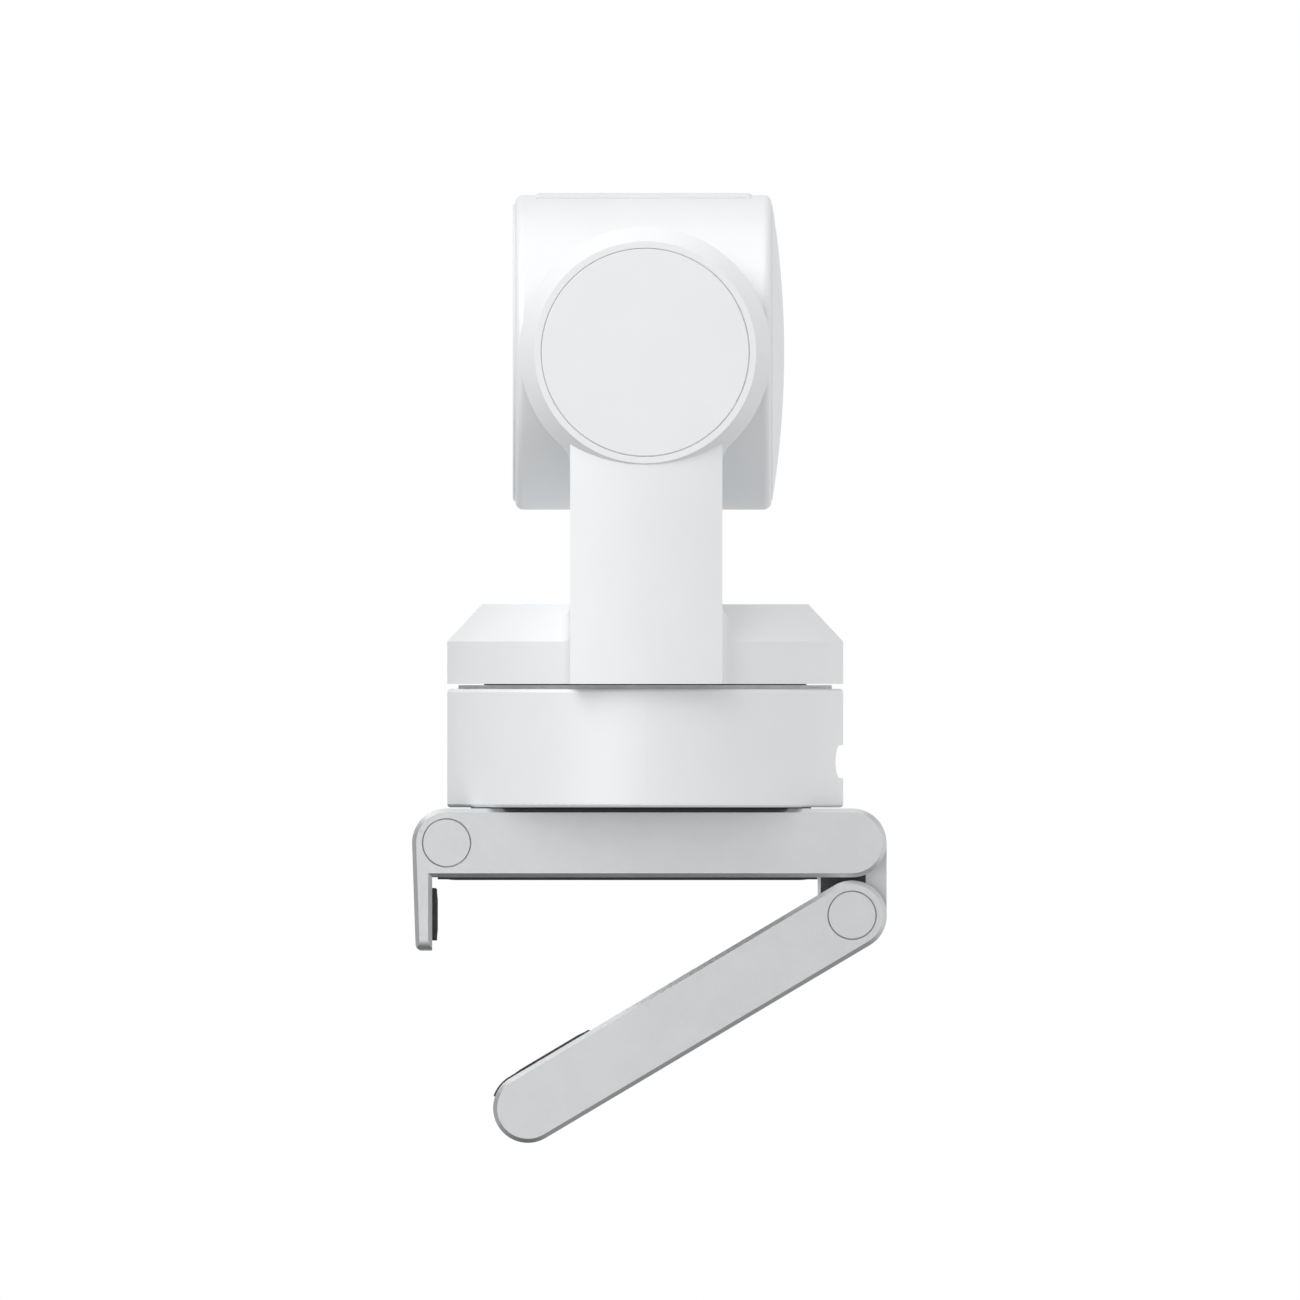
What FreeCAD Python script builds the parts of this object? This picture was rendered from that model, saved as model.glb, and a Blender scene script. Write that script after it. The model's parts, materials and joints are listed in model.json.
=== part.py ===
"""Pan-tilt video camera on a folding monitor clip, as a parametric assembly.

Millimetres. +Z is up, the lens looks along -Y, the side arm is on +X.
The origin is the middle of the clip's rubber rest, where it sits on a screen's top edge,
straight below the pan axis (X = 0, Y = 0) and the tilt axis (Y = 0, Z = tilt_z).
"""
import FreeCAD
import Part
import Sketcher

import math
import os
from types import SimpleNamespace

Vector = FreeCAD.Vector
Rotation = FreeCAD.Rotation

# Driving dimensions: alias and value, in millimetres (angles in degrees).
SIZES = (
    # monitor clip: a flat bar with side cheeks, a front lip and a rear knuckle
    ("clip_half", 18.0),
    ("cheek_in", 14.0),
    ("bar_low", 0.3),
    ("bar_top", 10.4),
    ("bar_round", 5.05),
    ("bar_floor", 3.3),
    ("pin_level", 5.35),
    ("front_pin", -29.1),
    ("rear_pin", 30.3),
    ("leg_drop", -5.25),
    ("lip_foot", -33.65),
    ("lip_back", -31.2),
    ("lip_bottom", -10.45),
    ("lip_round", 1.0),
    ("lip_corner", 1.7),
    ("lip_pad_face", -30.47),
    ("edge_break", 0.6),
    ("channel_front", -24.6),
    ("channel_rear", 24.6),
    ("knuckle_half", 13.6),
    ("strap", 0.45),
    ("pin_radius", 1.5),
    ("pin_slack", 0.06),
    ("cap_radius", 3.52),
    ("cap_seam", 0.1),
    ("cap_depth", 1.0),
    ("pad_half", 16.0),
    # camera platform, hinged on the clip's front pin
    ("deck_half", 13.8),
    ("deck_low", 7.4),
    ("deck_top", 10.55),
    ("deck_rear", 24.3),
    ("barrel_radius", 3.2),
    ("barrel_room", 3.5),
    ("thread_radius", 3.1),
    ("screw_head", 5.0),
    # folding leg, drawn folded flat along -Y with its hub at the origin
    ("leg_length", 55.25),
    ("leg_round", 5.1),
    ("leg_angle", 30.74),
    ("leg_clear", 5.4),
    ("leg_pad", 0.25),
    ("tripod_radius", 2.6),
    # fixed base
    ("base_radius", 29.0),
    ("base_top", 27.9),
    ("base_wall", 1.8),
    ("neck_radius", 27.35),
    ("neck_top", 28.45),
    ("port_level", 17.25),
    ("port_half", 5.6),
    ("port_round", 2.4),
    ("port_mouth", 26.5),
    # turntable and side arm
    ("table_low", 28.63),
    ("table_wall_top", 34.85),
    ("table_top", 40.3),
    ("table_top_radius", 23.9),
    ("arm_in", 22.6),
    ("arm_out", 31.0),
    ("arm_front", -11.0),
    ("arm_rear", 11.3),
    ("arm_bulge", 57.0),
    ("arm_blend", 4.0),
    ("foot_blend", 1.7),
    ("hub_radius", 18.41),
    ("hub_rim", 16.26),
    ("hub_step", 28.8),
    ("hub_face", 31.2),
    ("hub_cap", 15.25),
    ("hub_seam", 0.05),
    ("tilt_z", 77.2),
    # camera head: a short barrel whose axis runs along Y
    ("head_x", -1.15),
    ("head_radius", 23.05),
    ("head_wall", 1.8),
    ("head_front", -19.03),
    ("head_rear", 18.5),
    ("head_edge", 1.2),
    ("face_front", -19.4),
    ("face_radius", 21.75),
    ("dome_apex", 20.36),
    ("dome_radius", 135.0),
    ("panel_front", -16.0),
    ("panel_rear", 15.6),
    ("panel_rise", 0.3),
    ("boss_radius", 17.0),
    ("boss_face", 22.2),
    ("shaft_radius", 4.0),
    ("lens_radius", 8.8),
)

AXES = {"X": Vector(1, 0, 0), "Y": Vector(0, 1, 0), "Z": Vector(0, 0, 1)}
PLANES = {"X": "YZ_Plane", "Y": "XZ_Plane", "Z": "XY_Plane"}


class Size:
    """A length that carries both its value and its spreadsheet formula."""

    def __init__(self, value, formula):
        self.value = float(value)
        self.formula = formula

    def __add__(self, other):
        other = as_size(other)
        return Size(self.value + other.value, f"({self.formula} + {other.formula})")

    def __sub__(self, other):
        other = as_size(other)
        return Size(self.value - other.value, f"({self.formula} - {other.formula})")

    def __mul__(self, other):
        other = as_size(other)
        return Size(self.value * other.value, f"({self.formula} * {other.formula})")

    def __truediv__(self, other):
        other = as_size(other)
        return Size(self.value / other.value, f"({self.formula} / {other.formula})")

    def __neg__(self):
        return Size(-self.value, f"(0 - {self.formula})")

    def root(self):
        return Size(math.sqrt(self.value), f"sqrt({self.formula})")

    __radd__ = __add__
    __rmul__ = __mul__

    def __rsub__(self, other):
        return as_size(other) - self


def as_size(number):
    return number if isinstance(number, Size) else Size(number, f"{float(number):.6f}")


doc = FreeCAD.newDocument("pan_tilt_camera")
table = doc.addObject("Spreadsheet::Sheet", "size")
for row, (alias, value) in enumerate(SIZES, start=1):
    table.set(f"A{row}", alias)
    table.set(f"B{row}", str(value))
    table.setAlias(f"B{row}", alias)
doc.recompute()
d = SimpleNamespace(**{alias: Size(value, f"size.{alias}") for alias, value in SIZES})

nodes = []


def bind(thing, prop, size):
    thing.setExpression(prop, as_size(size).formula)


def node(label, thing):
    """Keep a finished object as one sub-part of the assembly."""
    thing.Label = label
    nodes.append(thing)
    return thing


# Part primitives ---------------------------------------------------------------------


def seat(thing, axis, centre, low):
    """Put a Z-built primitive on an axis through centre, starting at low."""
    turn = {"X": Rotation(AXES["Y"], 90), "Y": Rotation(AXES["X"], -90), "Z": Rotation()}
    thing.Placement = FreeCAD.Placement(Vector(), turn[axis])
    across = [name for name in "XYZ" if name != axis]
    bind(thing, f"Placement.Base.{across[0].lower()}", centre[0])
    bind(thing, f"Placement.Base.{across[1].lower()}", centre[1])
    bind(thing, f"Placement.Base.{axis.lower()}", low)


def box(x, y, z):
    thing = doc.addObject("Part::Box", "Box")
    for prop, axis, (low, high) in zip(("Length", "Width", "Height"), "xyz", (x, y, z)):
        bind(thing, prop, as_size(high) - low)
        bind(thing, f"Placement.Base.{axis}", low)
    return thing


def rod(axis, centre, radius, span):
    thing = doc.addObject("Part::Cylinder", "Rod")
    bind(thing, "Radius", radius)
    bind(thing, "Height", as_size(span[1]) - span[0])
    seat(thing, axis, centre, span[0])
    return thing


def cone(axis, centre, radii, span):
    thing = doc.addObject("Part::Cone", "Cone")
    bind(thing, "Radius1", radii[0])
    bind(thing, "Radius2", radii[1])
    bind(thing, "Height", as_size(span[1]) - span[0])
    seat(thing, axis, centre, span[0])
    return thing


def cut(base, *tools):
    thing = base
    for tool in tools:
        result = doc.addObject("Part::Cut", "Cut")
        result.Base = thing
        result.Tool = tool
        thing = result
    return thing


def join(*shapes):
    thing = doc.addObject("Part::MultiFuse", "Join")
    thing.Shapes = list(shapes)
    return thing


def tube(axis, centre, outer, inner, span):
    return cut(rod(axis, centre, outer, span), rod(axis, centre, inner, span))


def lifted(thing):
    """Wrap a primitive so that it can be placed a second time as a whole."""
    group = doc.addObject("Part::Compound", "Lift")
    group.Links = [thing]
    return group


# PartDesign features -----------------------------------------------------------------


def body(label):
    thing = doc.addObject("PartDesign::Body", label)
    return node(label, thing)


def trace(sketch, corners):
    """Closed outline. A corner is (u, v), or (u, v, radius) where an arc leaves it.

    A positive radius bends the arc outward of an anticlockwise outline, a negative one inward.
    """
    count = len(corners)
    spots = [Vector(as_size(c[0]).value, as_size(c[1]).value, 0) for c in corners]
    first = sketch.GeometryCount
    starts = []
    ends = []
    for i, corner in enumerate(corners):
        here = spots[i]
        there = spots[(i + 1) % count]
        if len(corner) == 2:
            sketch.addGeometry(Part.LineSegment(here, there))
            starts.append(1)
            ends.append(2)
            continue
        radius = abs(as_size(corner[2]).value)
        chord = there - here
        half = chord.Length / 2
        outward = Vector(chord.y, -chord.x, 0).normalize()
        if as_size(corner[2]).value < 0:
            outward = -outward
        rise = radius - math.sqrt(radius ** 2 - half ** 2)
        middle = (here + there) / 2 + outward * rise
        arc = Part.Arc(here, middle, there).toShape().Curve
        clockwise = arc.Axis.z < 0
        sketch.addGeometry(Part.Arc(there, middle, here) if clockwise
                           else Part.Arc(here, middle, there))
        starts.append(2 if clockwise else 1)
        ends.append(1 if clockwise else 2)
    for i, corner in enumerate(corners):
        after = (i + 1) % count
        line = first + i
        sketch.addConstraint(
            Sketcher.Constraint("Coincident", line, ends[i], first + after, starts[after]))
        pin_point(sketch, line, starts[i], corner)
        if len(corner) == 3:
            arc_size = as_size(corner[2])
            arc_size = arc_size if arc_size.value > 0 else -arc_size
            rule = sketch.addConstraint(Sketcher.Constraint("Radius", line, arc_size.value))
            bind(sketch, f"Constraints[{rule}]", arc_size)


def pin_point(sketch, line, end, corner):
    """Hold a point at its two bound distances from the sketch's origin."""
    for kind, size in zip(("DistanceX", "DistanceY"), corner):
        value = as_size(size).value
        rule = sketch.addConstraint(Sketcher.Constraint(kind, -1, 1, line, end, value))
        bind(sketch, f"Constraints[{rule}]", size)


def ring(sketch, centre, radius):
    spot = Vector(as_size(centre[0]).value, as_size(centre[1]).value, 0)
    circle = sketch.addGeometry(Part.Circle(spot, AXES["Z"], as_size(radius).value))
    pin_point(sketch, circle, 3, centre)
    rule = sketch.addConstraint(Sketcher.Constraint("Radius", circle, as_size(radius).value))
    bind(sketch, f"Constraints[{rule}]", radius)


def outline(part, axis, level, shapes):
    """A sketch square to an axis at a level: lists of corners, or (centre, radius) circles."""
    sketch = part.newObject("Sketcher::SketchObject", "Outline")
    plane = [f for f in part.Origin.OriginFeatures if f.Role == PLANES[axis]][0]
    sketch.AttachmentSupport = [(plane, "")]
    sketch.MapMode = "FlatFace"
    bind(sketch, "AttachmentOffset.Base.z", -as_size(level) if axis == "Y" else level)
    for shape in shapes:
        if isinstance(shape, tuple):
            ring(sketch, shape[0], shape[1])
        else:
            trace(sketch, shape)
    return sketch


def grow(part, axis, shapes, span):
    """Pad an outline from span[0] to span[1] along an axis."""
    start = span[1] if axis == "Y" else span[0]
    pad = part.newObject("PartDesign::Pad", "Pad")
    pad.Profile = outline(part, axis, start, shapes)
    bind(pad, "Length", as_size(span[1]) - span[0])
    doc.recompute()
    return pad


def carve(part, axis, shapes, span):
    """Pocket an outline from span[0] to span[1] along an axis, and check that it cut."""
    before = part.Shape.Volume
    start = span[0] if axis == "Y" else span[1]
    pocket = part.newObject("PartDesign::Pocket", "Pocket")
    pocket.Profile = outline(part, axis, start, shapes)
    bind(pocket, "Length", as_size(span[1]) - span[0])
    doc.recompute()
    if part.Shape.Volume > before - 1e-3:
        raise RuntimeError(f"{part.Label}: a pocket along {axis} cut nothing")
    return pocket


def spin(part, axis, shape, level=0.0, groove=False):
    """Turn a profile about an axis: corners are (radius, station), or (station, radius) on X."""
    before = part.Shape.Volume if groove else 0.0
    kind = "PartDesign::Groove" if groove else "PartDesign::Revolution"
    turned = part.newObject(kind, "Turned")
    sketch = outline(part, {"X": "Z", "Y": "Z", "Z": "Y"}[axis], level, [shape])
    turned.Profile = sketch
    turned.ReferenceAxis = (sketch, ["H_Axis" if axis == "X" else "V_Axis"])
    turned.Angle = 360
    doc.recompute()
    if groove and part.Shape.Volume > before - 1e-3:
        raise RuntimeError(f"{part.Label}: a groove about {axis} cut nothing")
    return turned


def edges_of(part, wanted):
    """Names of the edges of a body's present shape that a test picks."""
    found = []
    for i, edge in enumerate(part.Shape.Edges, start=1):
        if wanted(edge, edge.BoundBox):
            found.append(f"Edge{i}")
    return found


def dress(part, kind, size, wanted):
    """Fillet or chamfer the edges that a test picks."""
    names = edges_of(part, wanted)
    if not names:
        raise RuntimeError(f"{part.Label}: no edge to {kind.lower()}")
    base_feature = part.Tip
    feature = part.newObject(f"PartDesign::{kind}", kind)
    feature.Base = (base_feature, names)
    bind(feature, "Radius" if kind == "Fillet" else "Size", size)
    doc.recompute()
    if not feature.isValid() or feature.Shape.isNull():
        raise RuntimeError(f"{part.Label}: {kind.lower()} failed")
    return feature


def flat_at(box_, axis, level):
    low, high = {"x": (box_.XMin, box_.XMax), "y": (box_.YMin, box_.YMax),
                 "z": (box_.ZMin, box_.ZMax)}[axis]
    return abs(low - level) < 1e-3 and abs(high - level) < 1e-3


def rectangle(u, v):
    return [(u[0], v[0]), (u[1], v[0]), (u[1], v[1]), (u[0], v[1])]


def stadium(y, high, low, radius):
    """Upright stadium between two centre heights, as quarter arcs and lines."""
    return [(y, as_size(low) - radius, radius), (as_size(y) + radius, low),
            (as_size(y) + radius, high, radius), (y, as_size(high) + radius, radius),
            (as_size(y) - radius, high), (as_size(y) - radius, low, radius)]


def slot(half, level, radius):
    """Lying stadium about X = 0, its ends' centres at +-half, as quarter arcs and lines."""
    half, level, radius = as_size(half), as_size(level), as_size(radius)
    return [(-half, level - radius), (half, level - radius, radius),
            (half + radius, level, radius), (half, level + radius),
            (-half, level + radius, radius), (-half - radius, level, radius)]


def both_sides(low, high):
    """The same span on +X and on -X."""
    return (low, high), (-as_size(high), -as_size(low))


# Monitor clip --------------------------------------------------------------------------
bar_front = d.front_pin - d.bar_round
bar_end = d.rear_pin + d.bar_round
clip = body("clip_frame")
grow(clip, "X", [[
    (d.rear_pin, d.bar_low, d.bar_round),
    (bar_end, d.pin_level, d.bar_round),
    (d.rear_pin, d.bar_top),
    (d.front_pin, d.bar_top, d.bar_round),
    (bar_front, d.pin_level),
    (d.lip_foot, d.lip_bottom + d.lip_round, d.lip_round),
    (d.lip_foot + d.lip_round, d.lip_bottom),
    (d.lip_back, d.lip_bottom),
    (d.lip_back, d.bar_low),
]], (-d.clip_half, d.clip_half))
dress(clip, "Chamfer", d.edge_break,
      lambda e, b: flat_at(b, "x", d.clip_half.value) or flat_at(b, "x", -d.clip_half.value))
grow(clip, "X", [stadium(d.rear_pin, d.pin_level, d.leg_drop, d.bar_round)],
     (-d.knuckle_half, d.knuckle_half))

# The knuckle's dark core fills its front and middle, behind a thin strap of the clip's metal.
core_round = d.bar_round - d.strap
core_rear = d.rear_pin + 2.0
core_low = d.leg_drop - (core_round * core_round - 4.0).root()
core_outline = [
    (d.rear_pin, d.leg_drop - core_round, core_round), (core_rear, core_low), (core_rear, 2.0),
    (d.rear_pin - core_round, 2.0), (d.rear_pin - core_round, d.leg_drop, core_round),
]
carve(clip, "X", [core_outline], (-d.knuckle_half, d.knuckle_half))
carve(clip, "Z", [rectangle((-d.cheek_in, d.cheek_in), (d.channel_front, d.channel_rear))],
      (d.bar_floor, d.bar_top + 1.0))
carve(clip, "X", [((d.front_pin, d.pin_level), d.barrel_room)], (-d.cheek_in, d.cheek_in))
carve(clip, "X", [[(d.front_pin, d.pin_level), (d.channel_front + 0.6, d.pin_level),
                   (d.channel_front + 0.6, d.bar_top + 1.0),
                   (d.front_pin - 4.2, d.bar_top + 1.0)]], (-d.cheek_in, d.cheek_in))
for span in both_sides(d.cheek_in - 0.5, d.clip_half + 0.5):
    carve(clip, "X", [((d.front_pin, d.pin_level), d.pin_radius)], span)
for span in both_sides(d.clip_half - d.cap_depth, d.clip_half + 0.5):
    carve(clip, "X", [((d.front_pin, d.pin_level), d.cap_radius + d.cap_seam)], span)


def lip_corner(side):
    """Outline that takes one lower corner of the lip off to a quarter round."""
    reach = [d.clip_half - d.lip_corner, d.clip_half, d.clip_half + 1.0]
    inner, edge, past = (size * side for size in reach)
    high = d.lip_bottom + d.lip_corner
    low = d.lip_bottom - 1.0
    if side > 0:
        return [(inner, low), (past, low), (past, high), (edge, high, -d.lip_corner),
                (inner, d.lip_bottom)]
    return [(inner, d.lip_bottom, -d.lip_corner), (edge, high), (past, high), (past, low),
            (inner, low)]


for side in (1, -1):
    carve(clip, "Y", [lip_corner(side)], (d.lip_foot - 1.0, d.lip_back + 0.5))

node("rest_pad", box((-d.pad_half, d.pad_half), (d.lip_pad_face + 0.07, 25.2),
                     (0.0, d.bar_low)))

lip_pad = body("lip_pad")
grow(lip_pad, "X", [[
    (d.lip_back, -8.95), (d.lip_pad_face, -8.95), (d.lip_pad_face, -1.45),
    (d.lip_pad_face - 0.2, -1.25), (d.lip_back, -1.25),
]], (-d.pad_half, d.pad_half))

core = body("knuckle_core")
grow(core, "X", [core_outline], (-d.knuckle_half, d.knuckle_half))
carve(core, "X", [((d.rear_pin, d.leg_drop), d.pin_radius + d.pin_slack)],
      (-d.knuckle_half - 1, d.knuckle_half + 1))

washers = [tube("X", (d.rear_pin, d.leg_drop), 4.2, d.pin_radius + d.pin_slack, span)
           for span in both_sides(d.knuckle_half, d.knuckle_half + 0.3)]
node("friction_washers", join(*washers))

node("front_pin", rod("X", (d.front_pin, d.pin_level), d.pin_radius,
                      (-d.clip_half + d.cap_depth, d.clip_half - d.cap_depth)))


def end_caps(label, y, z):
    """Two flush discs that cover a pin's ends, each with a slightly broken rim."""
    discs = []
    for side in (1, -1):
        inner = (d.clip_half - d.cap_depth) * side
        outer = (d.clip_half - 0.12) * side
        face = d.clip_half * side
        span = (inner, outer) if side > 0 else (outer, inner)
        rim = (outer, face) if side > 0 else (face, outer)
        radii = (d.cap_radius, d.cap_radius - 0.12)
        radii = radii if side > 0 else radii[::-1]
        discs.append(rod("X", (y, z), d.cap_radius, span))
        discs.append(cone("X", (y, z), radii, rim))
    return node(label, join(*discs))


end_caps("front_pin_caps", d.front_pin, d.pin_level)

# Camera platform -------------------------------------------------------------------------
deck = body("platform")
grow(deck, "X", [[
    (d.front_pin + 1.0, d.pin_level + 0.65), (d.channel_front + 0.2, d.pin_level + 0.65),
    (d.channel_front + 0.2, d.deck_low), (d.deck_rear, d.deck_low), (d.deck_rear, d.deck_top),
    (d.front_pin + 3.6, d.deck_top), (d.front_pin + 2.9, d.pin_level + 2.9),
]], (-d.deck_half, d.deck_half))
grow(deck, "X", [((d.front_pin, d.pin_level), d.barrel_radius)], (-d.deck_half, d.deck_half))
carve(deck, "X", [((d.front_pin, d.pin_level), d.pin_radius + d.pin_slack)],
      (-d.deck_half - 1, d.deck_half + 1))
carve(deck, "Z", [((0.0, 0.0), d.thread_radius + 0.2)], (d.deck_low - 1, d.deck_top + 1))

screw = join(rod("Z", (0.0, 0.0), d.screw_head, (d.deck_low - 3.4, d.deck_low)),
             rod("Z", (0.0, 0.0), d.thread_radius, (d.deck_low - 1.0, 14.6)))
node("camera_screw", cut(screw, box((-6.0, 6.0), (-0.7, 0.7),
                                    (d.deck_low - 4.0, d.deck_low - 2.2))))

# Folding leg -------------------------------------------------------------------------------
def leg_part(thing):
    """Swing a leg part, drawn folded flat at the origin, to its resting angle on the hub."""
    thing.Placement = FreeCAD.Placement(Vector(), Rotation(AXES["X"], 30))
    bind(thing, "Placement.Rotation.Angle", d.leg_angle)
    bind(thing, "Placement.Base.y", d.rear_pin)
    bind(thing, "Placement.Base.z", d.leg_drop)


tip = -d.leg_length
leg = body("leg")
grow(leg, "X", [[
    (0.0, -d.leg_round, d.leg_round), (d.leg_round, 0.0, d.leg_round), (0.0, d.leg_round),
    (tip, d.leg_round, d.leg_round), (tip - d.leg_round, 0.0, d.leg_round),
    (tip, -d.leg_round),
]], (-d.clip_half, d.clip_half))
dress(leg, "Chamfer", d.edge_break,
      lambda e, b: flat_at(b, "x", d.clip_half.value) or flat_at(b, "x", -d.clip_half.value))
carve(leg, "X", [((0.0, 0.0), d.leg_clear)], (-d.cheek_in, d.cheek_in))
carve(leg, "X", [rectangle((-d.leg_clear, 6.0), (0.0, 6.0))], (-d.cheek_in, d.cheek_in))
carve(leg, "Z", [rectangle((-12.0, 12.0), (tip + 2.0, -9.0))], (-2.4, d.leg_round + 1.0))
carve(leg, "Z", [rectangle((-13.2, 13.2), (tip + 0.8, -7.8))],
      (d.leg_round - 1.4, d.leg_round + 1.0))
carve(leg, "Z", [((0.0, -32.0), 4.2)], (-d.leg_round - 1.0, 0.0))
for span in both_sides(d.cheek_in - 0.5, d.clip_half + 0.5):
    carve(leg, "X", [((0.0, 0.0), d.pin_radius)], span)
for span in both_sides(d.clip_half - d.cap_depth, d.clip_half + 0.5):
    carve(leg, "X", [((0.0, 0.0), d.cap_radius + d.cap_seam)], span)
leg_part(leg)

leg_cover = body("leg_cover")
grow(leg_cover, "Z", [rectangle((-13.1, 13.1), (tip + 0.9, -7.9))],
     (d.leg_round - 1.4, d.leg_round))
leg_part(leg_cover)

# The grip pad lies flat on the leg and wraps part of the way round its tip.
pad_round = d.leg_round + d.leg_pad
wrap_out, wrap_up = math.sin(math.radians(40)), math.cos(math.radians(40))
grip_pad = body("leg_grip_pad")
grow(grip_pad, "X", [[
    (tip, d.leg_round), (tip + 13.7, d.leg_round), (tip + 13.4, pad_round),
    (tip, pad_round, pad_round), (tip - pad_round * wrap_out, pad_round * wrap_up),
    (tip - d.leg_round * wrap_out, d.leg_round * wrap_up, -d.leg_round),
]], (-d.pad_half, d.pad_half))
leg_part(grip_pad)

insert = tube("Z", (0.0, -32.0), 4.2, d.tripod_radius, (-d.leg_round, 0.8))
leg_part(node("tripod_insert", insert))

node("leg_pin", rod("X", (d.rear_pin, d.leg_drop), d.pin_radius,
                    (-d.clip_half + d.cap_depth, d.clip_half - d.cap_depth)))
leg_part(end_caps("leg_pin_caps", 0.0, 0.0))

# Fixed base ----------------------------------------------------------------------------------
base_in = d.base_radius - d.base_wall
base = body("base_shell")
spin(base, "Z", [
    (base_in, d.deck_top), (d.base_radius, d.deck_top), (d.base_radius, d.base_top),
    (5.0, d.base_top), (5.0, d.base_top - 2.0), (base_in, d.base_top - 2.0),
])
dress(base, "Fillet", 0.5,
      lambda e, b: b.YLength > 57.5 and e.Curve.TypeId == "Part::GeomCircle")
grow(base, "Z", [rectangle((-9.6, 9.6), (25.2, 27.2))],
     (d.port_level - 4.0, d.port_level + 4.0))
carve(base, "Y", [slot(d.port_half, d.port_level, d.port_round)], (d.port_mouth, 30.0))
carve(base, "Y", [rectangle((-4.55, 4.55), (d.port_level - 1.7, d.port_level + 1.7))],
      (24.0, 28.0))

cover = body("base_cover")
spin(cover, "Z", [(4.6, d.deck_top), (base_in - 0.1, d.deck_top),
                  (base_in - 0.1, d.deck_top + 1.6), (4.6, d.deck_top + 1.6)])
posts = [((0.707 * s * 22.0, 0.707 * q * 22.0), 1.1) for s in (1, -1) for q in (1, -1)]
carve(cover, "Z", posts, (d.deck_top - 1, d.deck_top + 3))

screws = []
for s in (1, -1):
    for q in (1, -1):
        spot = (0.707 * s * 22.0, 0.707 * q * 22.0)
        screws.append(rod("Z", spot, 1.0, (d.deck_top + 0.2, 14.0)))
        screws.append(rod("Z", spot, 1.9, (d.deck_top + 1.6, d.deck_top + 2.2)))
node("base_screws", join(*screws))

node("base_insert", tube("Z", (0.0, 0.0), 4.6, d.thread_radius + 0.05,
                         (d.deck_top, d.deck_top + 2.9)))

board = body("main_board")
grow(board, "Z", [((0.0, 0.0), 24.4)], (14.0, 15.6))
carve(board, "Z", [((0.0, 0.0), 3.6)] + [(spot, 1.2) for spot, _ in posts], (13.0, 17.0))
chips = [box((x, x + w), (y, y + h), (15.6, 15.6 + t)) for x, y, w, h, t in (
    (-19.5, -6.0, 8.0, 8.0, 1.1), (12.0, -5.0, 7.0, 9.0, 1.0), (-5.0, -21.0, 10.0, 7.0, 1.2),
    (-17.0, 8.0, 5.0, 5.0, 0.9), (12.5, 9.0, 4.0, 4.0, 1.6))]
node("board_chips", join(*chips))

usb = body("usb_c_port")
grow(usb, "Y", [slot(2.85, d.port_level, 1.6)], (19.2, d.port_mouth))
carve(usb, "Y", [rectangle((-4.0, 4.0), (d.port_level - 1.2, d.port_level + 1.2))],
      (20.6, 28.0))
node("usb_c_tongue", box((-3.2, 3.2), (20.6, 25.8), (d.port_level - 0.35, d.port_level + 0.35)))

stator = body("pan_motor")
spin(stator, "Z", [(3.6, 16.6), (9.5, 16.6), (9.5, d.base_top - 2.0), (6.5, d.base_top - 2.0),
                   (6.5, 17.4), (3.6, 17.4)])
node("pan_bearing", tube("Z", (0.0, 0.0), 5.0, 2.56, (d.base_top - 2.0, d.base_top + 0.3)))
node("dust_ring", tube("Z", (0.0, 0.0), d.neck_radius, 24.0, (d.base_top, d.neck_top)))

# Turntable and side arm ------------------------------------------------------------------------
yoke = body("yoke_shell")
table_in = d.base_radius - 2.0
spin(yoke, "Z", [
    (table_in, d.table_low), (d.base_radius, d.table_low), (d.base_radius, d.table_wall_top),
    (d.table_top_radius, d.table_top), (0.0, d.table_top), (0.0, d.table_top - 2.0),
    (d.table_top_radius - 1.0, d.table_top - 2.0), (table_in, d.table_wall_top - 0.8),
])


def arm_reach(y):
    """Distance from the pan axis to the arm's bulged outer face at a given Y."""
    return (d.arm_bulge * d.arm_bulge - y * y).root() + d.arm_out - d.arm_bulge


def skin_reach(y):
    return (table_in * table_in - y * y).root()


def on_arm_side(b):
    return flat_at(b, "y", d.arm_front.value) or flat_at(b, "y", d.arm_rear.value)


grow(yoke, "Z", [[
    (d.arm_in, d.arm_front), (arm_reach(d.arm_front), d.arm_front, d.arm_bulge),
    (arm_reach(d.arm_rear), d.arm_rear), (d.arm_in, d.arm_rear),
]], (d.table_wall_top - 0.8, d.tilt_z))
grow(yoke, "Z", [[
    (skin_reach(d.arm_front), d.arm_front), (arm_reach(d.arm_front), d.arm_front, d.arm_bulge),
    (arm_reach(d.arm_rear), d.arm_rear), (skin_reach(d.arm_rear), d.arm_rear, -table_in),
]], (d.table_low, d.table_wall_top - 0.8))
spin(yoke, "X", [
    (d.arm_in, 0.0), (d.hub_face, 0.0), (d.hub_face, d.hub_rim), (d.hub_step, d.hub_radius),
    (d.arm_in, d.hub_radius),
], d.tilt_z)
dress(yoke, "Fillet", d.arm_blend, lambda e, b: on_arm_side(b) and 62.0 < b.ZMin
      and b.ZMax < 64.5 and b.XMin < d.arm_in.value + 0.1)
dress(yoke, "Fillet", d.foot_blend, lambda e, b: on_arm_side(b)
      and b.ZMax < d.table_top.value and 26.0 < b.XMax < d.base_radius.value - 1.0
      and b.ZMax > d.table_wall_top.value - 0.1)
cavity = d.hub_step - 0.2
carve(yoke, "X", [((0.0, d.tilt_z), 15.9)], (d.arm_in - 1.0, cavity))
carve(yoke, "X", [rectangle((d.arm_front + 1.8, d.arm_rear - 1.8),
                            (d.table_top + 0.8, d.tilt_z))], (d.arm_in - 1.0, 27.8))
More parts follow.
